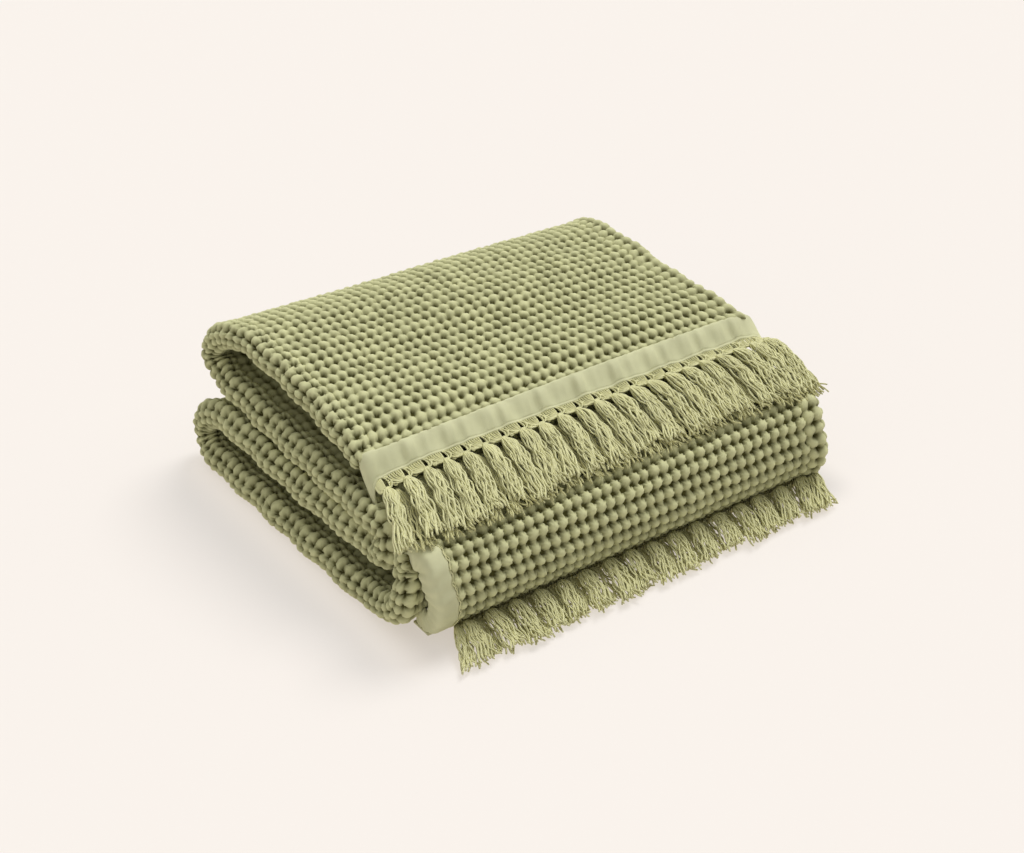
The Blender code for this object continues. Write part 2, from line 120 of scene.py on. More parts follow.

# steps: of the grid, on each puff. cap: how high a puff is. reach: its half sizes.
# floor: the ground between the puffs. pit, pit_size: the pits' depth and half size.
# star, rays: how far the fingers of a puff's rim stand out, and how many there are.
# around: how much of them its lower rim has too. crease: the fine creases round a pit, which also
# get a painted shade.
# lean: how far a puff's top is shifted across and along. link: how softly puffs run together.
# shade: a painted shade that darkens the colour of the whole stretch. stem: a ridge that joins the
# puffs along the cloth.
# over: 1 where puffs have a steep rim and keep whole beside a pit.
Look = namedtuple("Look", "steps cap reach floor pit pit_size star rays around crease lean link "
                          "shade stem over", defaults=(1.0, 0.0, 0.0))
LOOKS = {
    "top": Look(8, 5.3, (6.3, 6.4), 2.4, 4.2, 2.1, 0.20, 7, 0.2, 0.35, (-0.4, -0.8), 0.30,
                1.0, 0.4),
    "roll": Look(13, 5.9, (5.5, 5.6), 2.0, 4.2, 3.0, 0.42, 8, 0.35, 0.35, (-0.2, -0.4), 0.18,
                 1.0, 1.2, 0.75),
    "knots": Look(10, 4.6, (6.4, 6.6), 2.0, 4.6, 2.3, 0.20, 7, 0.5, 0.95, (0.0, 0.0), 0.26),
    "rim": Look(7, 4.8, (6.0, 6.0), 2.0, 4.0, 2.3, 0.16, 7, 0.3, 0.35, (0.0, 0.0), 0.30),
    "plain": Look(5, 4.8, (6.4, 6.8), 2.4, 3.0, 2.2, 0.0, 5, 0.0, 0.0, (0.0, 0.0), 0.5),
    # painted shade: the puffs inside the folds are painted darker
    "coarse": Look(4, 4.6, (6.4, 6.8), 2.2, 2.2, 2.4, 0.0, 5, 0.0, 0.0, (0.0, 0.0), 0.5, 0.7),
    "hidden": Look(3, 4.6, (6.4, 6.8), 2.2, 2.2, 2.6, 0.0, 5, 0.0, 0.0, (0.0, 0.0), 0.5),
}

# ---- headings and binding -------------------------------------------------------------------
BAND_INSET = (5.0, 4.0)         # where the band begins to turn down, in from the hem's ends
BAND_RADIUS = (8.0, 18.0)       # the turn's radius at the near and the far end
BAND_PAST = (15.0, 25.0)        # how far the band goes on past the hem's ends
BAND_TOP = -4.5                 # its upper edge lies on the puffs, this far above the hem
BAND_LOW = (16.5, 18.5)         # its lower edge, below the hem
BAND_HEIGHT = (7.0, 2.2)        # how far it stands off the hem's plane, at its two edges
BINDING_FIRST = ROW["curl, inner top"] + 0.36
BINDING_END = 9.0               # the binding's end reaches this much under the roll

# ---- tassels --------------------------------------------------------------------------------
TASSEL_COUNT = 22
TASSEL_PITCH = 19.4
TASSEL_FIRST_X = -205.0
LAST_HEAD_X = 199.0             # the last head stays on the band
HEAD_BELOW = 27.5               # the heads' place below the cloth's end
HEAD_LIFT = 2.5
Hang = namedtuple("Hang", "x aside tip_y tip_z")
HANGS = [
    Hang(-205.0, -25.0, -176.0, 93.0),
    Hang(-186.0, -15.0, -175.0, 95.0),
    Hang(-150.0, -13.0, -176.0, 95.5),
    Hang(-60.0, -7.0, -174.0, 95.5),
    Hang(60.0, 0.0, -173.0, 95.5),
    Hang(160.0, 3.0, -174.0, 95.0),
    Hang(203.0, -5.0, -173.0, 89.0),
]
FLOOR_ROOT_Y = -176.0
FLOOR_HEAD_Y = -187.5
FLOOR_TASSEL_COUNT = 17
FLOOR_TASSEL_PITCH = 23.9
FLOOR_FIRST_X = -183.0
FLOOR_TIP_Y = (-238.0, -229.0)
FLOOR_ASIDE = (-8.0, -12.0)     # how far the tips lie aside of their heads, at each end
# counts: yarns on the upper side, inside and on the under side. head, spread: the half width
# and half height at the head and below the shoulder. arch: how high the bundle bows.
# steps: points on a yarn's shoulder, its length and its tip. loose: how far yarns stray.
Bundle = namedtuple("Bundle", "counts head spread arch steps loose",
                    defaults=((4, 13, 5), 1.0))
TOP_FRONT = Bundle((13, 6, 3), (2.3, 2.0), (6.7, 5.2), 5.5)
TOP_FRONT_ARCH = (4.6, 6.4)     # drawn for each one
TOP_FALLEN = Bundle((13, 6, 3), (2.0, 1.8), (5.6, 4.4), 4.4, loose=1.1)
TOP_UNDER = Bundle((7, 3, 2), (1.7, 1.4), (5.6, 3.0), 2.2)
TOP_UNDER_LAST = Bundle((13, 6, 2), (3.2, 2.0), (7.0, 3.4), 2.4)
FLOOR_FRONT = Bundle((14, 7, 3), (2.8, 2.6), (7.8, 5.4), 2.4, (4, 8, 4))
FLOOR_CORNER = Bundle((9, 4, 2), (2.2, 2.0), (4.4, 3.6), 1.6, (4, 8, 4))
FLOOR_BETWEEN = Bundle((12, 6, 0), (4.2, 1.8), (8.0, 2.6), 0.6, (3, 7, 4))
# y and z of each yarn the loops are drawn from
CORDS = ((-177.5, 3.0), (-180.6, 3.4), (-183.6, 3.8), (-186.4, 4.6))
# the directions of the loops: along the hem, down its slope, and out of it
ACROSS = np.array([1.0, 0.0, 0.0])
DOWN = np.array([0.0, -0.906, -0.423])
OUT = np.array([0.0, -0.423, 0.906])

# ---- colours and light ----------------------------------------------------------------------
SAGE = (0.585, 0.583, 0.325)
# painted shade: the dark olive the cloth goes to deep in its pits and creases
SAGE_PIT_SHADE = (0.075, 0.070, 0.015)
SAGE_PLAIN = (0.575, 0.572, 0.355)
SAGE_YARN = (0.655, 0.640, 0.365)
# painted shade: the darker colour of yarns that lie in shade
SAGE_YARN_SHADE = (0.420, 0.395, 0.170)
FLOOR_HALF = 12.0               # metres
FOOT_HALF = (0.205, 0.165, 0.0)  # distances on the floor are taken from this block, in metres
# painted light: the floor's paint and glow beside the cloth and away from it. Beside it the paint
# is darker and bluer and the glow brighter and warmer, so that shadows there stay light and warm.
FLOOR_PAINT = ((0.185, 0.200, 0.220), (0.34, 0.31, 0.285))
FLOOR_GLOW = ((0.735, 0.658, 0.580), (0.550, 0.527, 0.503))
GLOW_REACH = 0.075              # from the first colour to the second, in metres
# painted contact shadow: the glow is lower on and round the block under the cloth
PAINTED_SHADOW_REACH = 0.040             # the glow is full this far from the block
PAINTED_SHADOW_GLOW = 0.75               # and this share of it on the block
WORLD_STRENGTH = 0.24
# name, the way to the sun, strength, angle, colour
SUNS = (("overhead", (0.25, 0.10, 1.0), 1.20, 90, (1, 1, 1)),
        ("key", (0.70, 0.23, 1.0), 2.05, 28, (1, 1, 1)),
        ("fill", (-0.85, -0.45, 0.25), 0.64, 80, (1.0, 0.96, 0.86)))
CAMERA_PLACE = (-1.0440, -1.4719, 1.2354)
CAMERA_AZIMUTH = -35.0
CAMERA_ELEVATION = 33.25


def blend(a, b, share):
    return a + (b - a) * share


def ease(t):
    return t * t * (3 - 2 * t)


def rising(value, start, width):
    """0 up to start, 1 from width past it on, and softly between."""
    return ease(np.clip((value - start) / width, 0, 1))


def wave(value, pitch, shift=0.0):
    return np.sin(2 * np.pi * value / pitch + shift)


def together(*values):
    """The values as arrays of numbers that all have the same shape."""
    return np.broadcast_arrays(*(np.asarray(value, float) for value in values))


def unit(vectors, guard=0.0):
    """The directions of vectors. guard keeps a vector of no length from dividing by zero."""
    return vectors / (np.linalg.norm(vectors, axis=-1, keepdims=True) + guard)


def run_length(line):
    """How far along the line each of its points is."""
    return np.concatenate([[0], np.cumsum(np.linalg.norm(np.diff(line, axis=0), axis=1))])


def softly(shape, mean, spread):
    return mean + rng.normal(0, spread, shape)


def to_world(points):
    return (np.asarray(points, float) - (*FOOTPRINT_CENTRE, 0.0)) * MM


# ---- fold geometry --------------------------------------------------------------------------
def creased(x, y):
    """How much the soft troughs and ridges lift the top layer at x, y."""
    lift = 0.0
    for crease in CREASES:
        run = math.radians(crease.run)
        along = (x - crease.x) * math.cos(run) + (y - crease.y) * math.sin(run)
        across = (y - crease.y) * math.cos(run) - (x - crease.x) * math.sin(run)
        near = np.exp(-(along / crease.length) ** 2 - (across / crease.breadth) ** 2)
        lift = lift + crease.rise * near * np.clip((CREASE_END_Y - y) / 25.0, 0, 1)
    return lift


def fold_frame(where, share):
    """The cloth's middle at where (row number + share of the way to the next row).

    share runs from the near edge (0) to the far edge (1). It returns the points, the unit
    directions of the cloth's run in y and z, its two ends in x and the thickness share.
    """
    where, share = together(where, share)
    row = np.clip(where.astype(int), 0, LAST_ROW - 1)
    t = where - row
    s = 1 - t
    c = COLUMNS

    def corner(index):
        y = blend(c["y_near"][index], c["y_far"][index], share)
        z = blend(c["z_near"][index], c["z_far"][index], share)
        return np.stack([y, z], -1)

    def facing(index):
        angle = np.radians(c["heading"][index])
        return np.stack([np.cos(angle), np.sin(angle)], -1)

    def between(field):
        return blend(c[field][row], c[field][row + 1], t)

    p0, p3 = corner(row), corner(row + 1)
    p1 = p0 + facing(row) * c["after"][row][..., None]
    p2 = p3 - facing(row + 1) * c["before"][row + 1][..., None]
    s, t = s[..., None], t[..., None]
    middle = p0 * s ** 3 + p1 * (3 * s * s * t) + p2 * (3 * s * t * t) + p3 * t ** 3
    along = unit((p1 - p0) * (s * s) + (p2 - p1) * (2 * s * t) + (p3 - p2) * (t * t))
    t = t[..., 0]
    edge = EDGE_WAVE * wave(middle[..., 0] + middle[..., 1], EDGE_WAVE_PITCH)
    near, far = between("near") + edge, between("far") + edge
    x = blend(near, far, share)
    sway = between("sway") * wave(x, WAVE_PITCH, middle[..., 0] / WAVE_PITCH)
    crown = between("crown") * 4 * share * (1 - share)
    point = np.stack([x, middle[..., 0], middle[..., 1] + sway + crown], -1)
    point[..., 2] += creased(x, middle[..., 0]) * (where < ROW["top, back"] + 0.4)
    return point, along, near, far, between("thick")


def cloth_surface(where, share, angle, off):
    """A point off the cloth's middle by off, at angle round its section, and its axes.

    angle is 90 on the top face, -90 on the other one, and between them round an edge: the
    near edge where share is 0 and the far edge where it is 1. The axes are those across the
    cloth's surface, along the fold, and out of it.
    """
    where, share, angle, off = together(where, share, angle, off)
    point, along, _, _, thick = fold_frame(where, share)
    normal = np.stack([np.zeros_like(share), -along[..., 1], along[..., 0]], -1)
    run = np.stack([np.zeros_like(share), along[..., 0], along[..., 1]], -1)
    to_edge = np.where(share < 0.5, -1.0, 1.0)
    side = np.zeros_like(normal)
    side[..., 0] = to_edge
    rad = np.radians(angle)
    out = normal * np.sin(rad)[..., None] + side * np.cos(rad)[..., None]
    point = point + out * off[..., None]
    on_edge = (share <= 0.0) | (share >= 1.0)
    point[..., 0] -= np.where(on_edge, to_edge * (EDGE_INSET * thick), 0.0)
    return point, np.cross(run, out), run, out, thick


# ---- meshes and materials -------------------------------------------------------------------
def mesh_object(name, points, faces, shade_and_tone):
    """A mesh object from arrays: faces is a list of arrays, each of faces of one size."""
    mesh = bpy.data.meshes.new(name)
    faces = [np.asarray(group, np.int64) for group in faces if len(group)]
    loops = np.concatenate([group.ravel() for group in faces])
    sizes = np.concatenate([np.full(len(group), group.shape[1]) for group in faces])
    starts = np.concatenate([[0], np.cumsum(sizes)[:-1]])
    mesh.vertices.add(len(points))
    mesh.vertices.foreach_set("co", to_world(points).astype(np.float32).ravel())
    mesh.loops.add(len(loops))
    mesh.loops.foreach_set("vertex_index", loops.astype(np.int32))
    mesh.polygons.add(len(sizes))
    mesh.polygons.foreach_set("loop_start", starts.astype(np.int32))
    mesh.polygons.foreach_set("loop_total", sizes.astype(np.int32))
    mesh.polygons.foreach_set("use_smooth", np.full(len(sizes), True))
    layer = mesh.attributes.new("shade_and_tone", "FLOAT", "POINT")
    layer.data.foreach_set("value", np.asarray(shade_and_tone, np.float32))
    mesh.update()
    mesh.validate()
    made = bpy.data.objects.new(name, mesh)
    bpy.context.scene.collection.objects.link(made)
    return made


def grid_faces(rows, columns, wrap=False):
    """Quads of a rows by columns grid of points; wrap joins the last column to the first."""
    row = np.arange(rows - 1)[:, None]
    column = np.arange(columns if wrap else columns - 1)[None, :]
    after = (column + 1) % columns
    a, b = row * columns + column, row * columns + after
    return np.stack([a, b, b + columns, a + columns], -1).reshape(-1, 4)


def dress(made, material):
    made.data.materials.append(material)
    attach(made, "root")
    return made


def new_material(name, **inputs):
    """A material, its node tree and its shader, with these numbers on the shader's inputs."""
    material = bpy.data.materials.new(name)
    material.use_nodes = True
    shader = material.node_tree.nodes["Principled BSDF"]
    for key, value in inputs.items():
        shader.inputs[key.replace("_", " ")].default_value = value
    return material, material.node_tree, shader


def mixed(tree, factor, colours):
    """A colour between two, by factor."""
    node = tree.nodes.new("ShaderNodeMix")
    node.data_type = "RGBA"
    node.inputs["A"].default_value = (*colours[0], 1)
    node.inputs["B"].default_value = (*colours[1], 1)
    tree.links.new(factor, node.inputs["Factor"])
    return node.outputs["Result"]


def mapped(tree, value, start, end, low=0.0, high=1.0, kind="LINEAR"):
    """low where value is start, and high where it is end."""
    node = tree.nodes.new("ShaderNodeMapRange")
    node.interpolation_type = kind
    for key, number in (("From Min", start), ("From Max", end), ("To Min", low),
                        ("To Max", high)):
        node.inputs[key].default_value = number
    tree.links.new(value, node.inputs["Value"])
    return node.outputs["Result"]


def noise(tree, place, scale, detail, roughness=0.5):
    node = tree.nodes.new("ShaderNodeTexNoise")
    node.inputs["Scale"].default_value = scale
    node.inputs["Detail"].default_value = detail
    node.inputs["Roughness"].default_value = roughness
    tree.links.new(place, node.inputs["Vector"])
    return node.outputs["Fac"]


def vector_step(tree, operation, vector, other=None):
    """One step of vector arithmetic, with a fixed other vector where it needs one."""
    node = tree.nodes.new("ShaderNodeVectorMath")
    node.operation = operation
    tree.links.new(vector, node.inputs[0])
    if other:
        node.inputs[1].default_value = other
    return node


def scaled(tree, vector, share):
    node = vector_step(tree, "SCALE", vector)
    tree.links.new(share, node.inputs["Scale"])
    return node.outputs["Vector"]


def cotton(name, colour, shade_colour, grain, bump):
    """Matt cotton: pits, creases and yarns in shade painted darker towards the shade colour
    (painted shade), soft patches, a fine grain and a little fuzz.
    """
    material, tree, shader = new_material(
        name, Roughness=0.93, Metallic=0.0, Sheen_Weight=0.25, Sheen_Roughness=0.55,
        Sheen_Tint=(*[min(1, v * 1.6) for v in colour], 1), Specular_IOR_Level=0.2)
    place = tree.nodes.new("ShaderNodeTexCoord").outputs["Object"]
    shade_and_tone = tree.nodes.new("ShaderNodeAttribute")
    shade_and_tone.attribute_name = "shade_and_tone"
    # painted shade: the colour goes to the shade colour where the attribute read here is low
    depth = mixed(tree, shade_and_tone.outputs["Fac"], (shade_colour, colour))
    lighter = mapped(tree, noise(tree, place, 45.0, 3.0), 0.3, 0.7, 0.93, 1.06)
    relief = tree.nodes.new("ShaderNodeBump")
    relief.inputs["Strength"].default_value = bump
    relief.inputs["Distance"].default_value = 0.0006
    tree.links.new(noise(tree, place, grain, 4.0, 0.65), relief.inputs["Height"])
    tree.links.new(scaled(tree, depth, lighter), shader.inputs["Base Color"])
    tree.links.new(relief.outputs["Normal"], shader.inputs["Normal"])
    return material


# ---- the cloth's core -----------------------------------------------------------------------
def make_core(material):
    """The folded cloth between its puffs: a closed sheet with rounded edges, all in the pits'
    painted shade colour.
    """
    steps_a_row, flat, turn = 10, 24, 5
    rows = np.linspace(0, LAST_ROW, LAST_ROW * steps_a_row + 1)
    shares = np.linspace(0, 1, flat)
    angles = np.linspace(90, -90, turn + 2)[1:-1]
    section = ([(share, 90.0) for share in shares] + [(1.0, angle) for angle in angles]
               + [(share, -90.0) for share in shares[::-1]] + [(0.0, -angle) for angle in angles])
    share, angle = np.array(section).T
    where = rows[:, None]
    thick = fold_frame(where, share)[4]
    points = cloth_surface(where, share, angle, CORE_HALF * thick)[0]
    count = len(section)
    faces = grid_faces(len(rows), count, wrap=True)[:, ::-1]
    all_points = np.concatenate([points.reshape(-1, 3), [points[0].mean(0), points[-1].mean(0)]])
    centre = len(all_points) - 2
    ring = np.arange(count)
    last = (len(rows) - 1) * count
    caps = [np.stack([ring, (ring + 1) % count, np.full(count, centre)], -1),
            np.stack([last + (ring + 1) % count, last + ring, np.full(count, centre + 1)], -1)]
    # painted shade: the whole core takes the pits' dark shade colour
    made = mesh_object("cloth_core", all_points, [faces, np.concatenate(caps)],
                       np.zeros(len(all_points)))
    return dress(made, material)


# ---- the weave's relief ---------------------------------------------------------------------
def pick(values, row, column):
    """values at these fractional rows and columns, blended between its entries."""
    row = np.clip(row, 0, values.shape[0] - 1.001)
    column = np.clip(column, 0, values.shape[1] - 1.001)
    i, j = row.astype(int), column.astype(int)
    s, t = row - i, column - j
    return (values[i, j] * (1 - s) * (1 - t) + values[i, j + 1] * (1 - s) * t
            + values[i + 1, j] * s * (1 - t) + values[i + 1, j + 1] * s * t)


def puff_domes(u, v, shape, pitch, look):
    """What the four nearest puffs add up to: domes with a few fingers on their upper rims."""
    tall = softly(shape, look.cap, CAP_SPREAD * look.cap)
    girth, phase = softly(shape, 1.0, GIRTH_SPREAD), rng.uniform(0, 6.3, shape)
    nudge = softly((2, *shape), 0, NUDGE_SPREAD)
    total = np.zeros_like(u)
    low_u, low_v = np.floor(u - 0.5).astype(int), np.floor(v - 0.5).astype(int)
    for i, j in ((low_v + a, low_u + b) for a in (0, 1) for b in (0, 1)):
        dx = (u - j - 0.5 - nudge[0, i, j]) * pitch[0]
        dy = (v - i - 0.5 - nudge[1, i, j]) * pitch[1]
        turn = np.arctan2(dy, dx)
        upper = np.clip(0.5 - 0.7 * np.sin(turn), 0, 1)
        fingers = (0.5 + 0.5 * np.cos(look.rays * turn + phase[i, j])) ** 1.5 - 0.4
        radius = girth[i, j] * (1 + look.star * fingers * blend(upper, 1.0, look.around))
        far = np.hypot(dx / look.reach[0], dy / look.reach[1]) / radius
        dome = tall[i, j] * (1 - np.minimum(far, 1.0) ** DOME_POWERS[0]) ** DOME_POWERS[1]
        # the steep rim goes on down, past the ground
        dome -= look.over * 8.0 * np.clip(far - 0.93, 0, 0.5)
        total += np.exp(dome / look.link)
    return total


def pits(u, v, cells, pitch, look, pit_lines):
    """How deep the pit is where four puffs meet, 1 at its middle, with the creases round it."""
    near_u, near_v = np.rint(u).astype(int), np.rint(v).astype(int)
    off_u, off_v = (u - near_u) * pitch[0], (v - near_v) * pitch[1]
    deep = softly(cells, 1.0, 0.22)[near_v, near_u]
    if pit_lines is not None:
        deep = deep * np.asarray(pit_lines)[near_u]
    size = look.pit_size * softly(cells, 1.0, 0.10)[near_v, near_u]
    turn = np.arctan2(off_v, off_u)
    begun = rng.uniform(0, 6.3, (2, *cells))[:, near_v, near_u]
    size = size * (1 + look.crease * 0.6 * np.cos(4 * turn + begun[0]))
    away = np.hypot(off_u, off_v)
    hole = np.exp(-(away / size) ** 1.7) * deep
    # fine creases run out from the pit over the puffs round it
    rays = (0.5 + 0.5 * np.cos(6 * turn + begun[1])) ** 3
    fading = np.exp(-(away / 4.6) ** 2)
    hole += look.crease * 0.46 * rays * fading * (1 - np.exp(-(away / size) ** 2))
    return hole


def relief_patch(place, columns, rows, pitch, look, pit_lines=None):
    """A stretch of weave as one closed surface: puffs that run together round sharp pits.

    place(u, v, off) gives the points, directions, thickness share and crowding at u puffs
    across and v rows along. pit_lines makes the pits between two columns deeper or less deep.
    """
    # the grid's lines are closer together where puffs meet
    part = np.arange(look.steps) / look.steps
    part = part - 0.45 * np.sin(2 * np.pi * part) / (2 * np.pi)
    lines = [np.append((np.arange(n)[:, None] + part[None]).ravel(), n) for n in (columns, rows)]
    u, v = np.meshgrid(*lines)
    cells = (rows + 1, columns + 1)
    inside = np.minimum(np.minimum(u, columns - u), np.minimum(v, rows - v))
    free = np.clip(inside * 2, 0, 1)
    moved_u = u + free * pick(softly(cells, 0, GRID_SPREAD[0]), v, u)
    moved_v = v + free * pick(softly(cells, 0, GRID_SPREAD[1]), v, u)
    total = puff_domes(u, v, (rows + 2, columns + 2), pitch, look)
    hole = pits(u, v, cells, pitch, look, pit_lines)
    ground = look.floor + 0.3 * pick(softly(cells, 0.0, 1.0), v, u)
    middle = (u - np.floor(u) - 0.5) * pitch[0]
    ground += look.stem * np.exp(-(middle / 2.4) ** 2)
    cut = look.pit * hole
    height = look.link * np.log(total + np.exp((ground - look.over * cut) / look.link))
    height -= (1 - look.over) * cut
    height += rng.normal(0, 0.04, u.shape)
    _, across, along, out, thick, crowd = place(moved_u, moved_v, 0.0)
    scale = (0.22 + 0.78 * thick) * crowd
    lift = np.clip(height / look.cap, 0, 1) * scale
    points = place(moved_u, moved_v, height * scale)[0]
    points = points + across * (look.lean[0] * lift)[..., None]
    points = points + along * (look.lean[1] * lift)[..., None]
    # painted shade: the colour is darker down the puffs' sides, darker on the ground, darkest in
    # the pits and their creases, and darker where a tight turn crowds the puffs
    above = (height - look.floor) / (look.cap - look.floor)
    shade_and_tone = np.where(above > 0, GROUND_SHADE + 0.42 * above,
                    GROUND_SHADE + (height - look.floor) / (0.55 * look.pit) * 0.60)
    shade_and_tone = shade_and_tone - 0.25 * look.crease * hole
    shade_and_tone = np.clip(shade_and_tone, 0, 1.05) * (0.35 + 0.65 * crowd) * look.shade
    return close_patch(place, u, v, points, shade_and_tone, out)


def close_patch(place, u, v, points, shade_and_tone, out):
    """Gives a patch a rim that dips into the cloth, and a plain back across it."""
    rim_u, rim_v = np.pad(u, 1, mode="edge"), np.pad(v, 1, mode="edge")
    sunk = place(rim_u, rim_v, np.full(rim_u.shape, -SUNK * 0.6))[0]
    sunk[1:-1, 1:-1] = points
    # the rim and the back take the pits' painted shade
    points, shade_and_tone = sunk, np.pad(shade_and_tone, 1)
    high, wide = points.shape[:2]
    quads = grid_faces(high, wide)
    back = place(rim_u[:, [0, -1]], rim_v[:, [0, -1]], np.full((high, 2), -SUNK))[0]
    left = np.arange(high) * wide
    right = left + wide - 1
    low_left = high * wide + np.arange(high) * 2
    low_right = low_left + 1
    walls = [np.stack([a[:-1], a[1:], b[1:], b[:-1]], -1)
             for a, b in ((left, low_left), (low_right, right), (low_left, low_right))]
    first = np.concatenate([np.arange(wide), [low_right[0], low_left[0]]])
    last = np.concatenate([(left[-1] + np.arange(wide))[::-1], [low_left[-1], low_right[-1]]])
    points = np.concatenate([points.reshape(-1, 3), back.reshape(-1, 3)])
    shade_and_tone = np.concatenate([shade_and_tone.ravel(), np.zeros(2 * high)])
    faces = {4: np.concatenate([quads, *walls]), wide + 2: np.stack([first, last])}
    # turned so that the upper face looks outwards
    middle = quads[len(quads) // 2 + wide // 2]
    a, b, c = (points[middle[k]] for k in range(3))
    if np.cross(b - a, c - b) @ out[high // 2 - 1, wide // 2 - 1] < 0:
        faces = {size: group[:, ::-1] for size, group in faces.items()}
    return points, faces, shade_and_tone


def join_patches(name, patches, material):
    all_points, all_faces, all_tone, start = [], {}, [], 0
    for points, faces, shade_and_tone in patches:
        points[:, 2] = np.maximum(points[:, 2], 0.1)
        all_points.append(points)
        all_tone.append(shade_and_tone)
        for size, group in faces.items():
            all_faces.setdefault(size, []).append(group + start)
        start += len(points)
    made = mesh_object(name, np.concatenate(all_points),
                       [np.concatenate(group) for group in all_faces.values()],
                       np.concatenate(all_tone))
    return dress(made, material)


def face_patch(side, first, last, look, span=(1, PUFF_COLUMNS - 1), pitch=PUFF_ROW_PITCH,
               first_row=0.0):
    """A stretch of the top face (side 1) or the other one (-1), from column to column."""
    angle = 90.0 * side
    level = (CORE_HALF + 0.55 * PUFF_HEIGHT) * fold_frame(FINE_ROWS, 0.5)[4]
    length = run_length(cloth_surface(FINE_ROWS, 0.5, angle, level)[0])
    length -= FIRST_ROW if first_row else 0.0
    begin = 0 if first_row else math.ceil(np.interp(first, FINE_ROWS, length) / pitch - 1e-6)
    end = math.floor(np.interp(last, FINE_ROWS, length) / pitch)

    def place(u, v, off):
        v = v + begin
        run = v * pitch
        if first_row:
            run = np.where(v < 1, v * first_row, (v - 1) * pitch + first_row)
        where = np.interp(run, length, FINE_ROWS)
        _, _, near, far, _ = fold_frame(where, 0.5)
        width = far - near
        step = (width - 2 * EDGE_INSET) / PUFF_COLUMNS
        share = (EDGE_INSET + (u + span[0]) * step) / width
        thick = fold_frame(where, share)[4]
        got = cloth_surface(where, share, angle, CORE_HALF * thick + off)
        # lower, and painted darker (painted shade), where the roll turns under
        under = rising(where, ROW["roll, face"] + 0.25, 0.4)
        return (*got, crowding(where, 0.5 + 0 * share, angle) * (1 - 0.45 * under))

    return relief_patch(place, span[1] - span[0], end - begin, (10.25, pitch), LOOKS[look])


def crowding(where, share, angle):
    """How much lower puffs are on the inside of a tight turn: 1 where nothing crowds them. Their
    colour is also painted darker there, a painted shade.
    """
    step = 0.02
    runs = [np.linalg.norm(cloth_surface(where + step, share, angle, off)[0]
                           - cloth_surface(where - step, share, angle, off)[0], axis=-1)
            for off in (CORE_HALF + PUFF_HEIGHT, 0.0)]
    return np.clip(0.25 + 1.1 * runs[0] / np.maximum(runs[1], 1e-6), 0.3, 1.0)


def edge_patch(end, first, last, look):
    """The cloth's near edge (end 0) or far edge (1), with the first puffs of both faces."""
    # rows keep their pitch on the outer side of each turn
    sides = [cloth_surface(FINE_ROWS, float(end), angle, CORE_HALF)[0] for angle in (90.0, -90.0)]
    runs = [np.linalg.norm(np.diff(line, axis=0), axis=1) for line in sides]
    length = np.concatenate([[0], np.cumsum(np.maximum(*runs))])
    begin, finish = np.interp([first, last], FINE_ROWS, length)
    rows = max(2, round((finish - begin) / EDGE_PITCH))
    arc = math.pi * (CORE_HALF + EDGE_FULLER[0])
    stops = [-EDGE_LAP, -2.0, *(arc * (90 - angle) / 180 for angle in EDGE_LINES), arc + 2.0,
             arc + EDGE_LAP]

    def place(u, v, off):
        where = np.interp(begin + (finish - begin) * v / rows, length, FINE_ROWS)
        _, _, near, far, _ = fold_frame(where, 0.5)
        at = np.interp(u, np.arange(len(stops)), stops)
        inward = np.maximum(-at, 0) + np.maximum(at - arc, 0)
        share = np.where(inward > 0, (EDGE_INSET + inward) / (far - near), 0.0)
        share = share if end == 0 else 1 - share
        angle = 90.0 - 180.0 * np.clip(at / arc, 0, 1)
        thick = fold_frame(where, share)[4]
        fuller = blend(*EDGE_FULLER, rising(where, ROW["top, back"] + 0.3, 0.5))
        level = CORE_HALF + fuller * (1 - rising(inward, 0.0, EDGE_LAP))
        got = cloth_surface(where, share, angle, level * (0.2 + 0.8 * thick) + off)
        return (*got, crowding(where, float(end) + 0 * share, angle))

    return relief_patch(place, len(stops) - 1, rows, (10.0, EDGE_PITCH), LOOKS[look],
                        pit_lines=(0.5, 1.2, 1.1, 0.8, 1.1, 1.2, 0.5))


def make_weave(material):
    """The whole weave, by the stretch of cloth that it is on."""
    back = ROW["second, back"] + 0.15
    front = ROW["second, front"] - 0.5
    inside = ROW["third, front"] + 0.4
    low_back = ROW["third, back"] - 0.1
    floor = ROW["floor, back"] + 0.15
    wall = ROW["curl, inner wall"]
    roll = ROW["curl, inner top"] + 0.1
    # inside the folds only the puffs beside the two edges can be seen
    inner = [face_patch(side, first, last, "coarse", span)
             for side, first, last in ((1, back, low_back), (1, wall, LAST_ROW - 0.3),
                                       (-1, 0.6, front), (-1, inside, roll))
             for span in ((1, 5), (PUFF_COLUMNS - 5, PUFF_COLUMNS - 1))]
    stretches = (
        ("weave_top", [face_patch(1, 0.0, back, "top", first_row=8.4)]),
        ("weave_low_back", [face_patch(1, low_back, floor, "plain")]),
        ("weave_roll", [face_patch(-1, roll, LAST_ROW, "roll", pitch=ROLL_ROW_PITCH)]),
        ("weave_front_fold", [face_patch(-1, front, inside, "plain")]),
        ("weave_underside", [face_patch(1, floor, wall, "hidden")]),
        ("weave_inside", inner),
        ("weave_near_edge", [edge_patch(0, 0.0, ROW["curl, inner top"] + 0.50, "knots")]),
        ("weave_far_edge", [edge_patch(1, 0.0, LAST_ROW, "rim")]),
    )
    return [join_patches(name, patches, material) for name, patches in stretches]


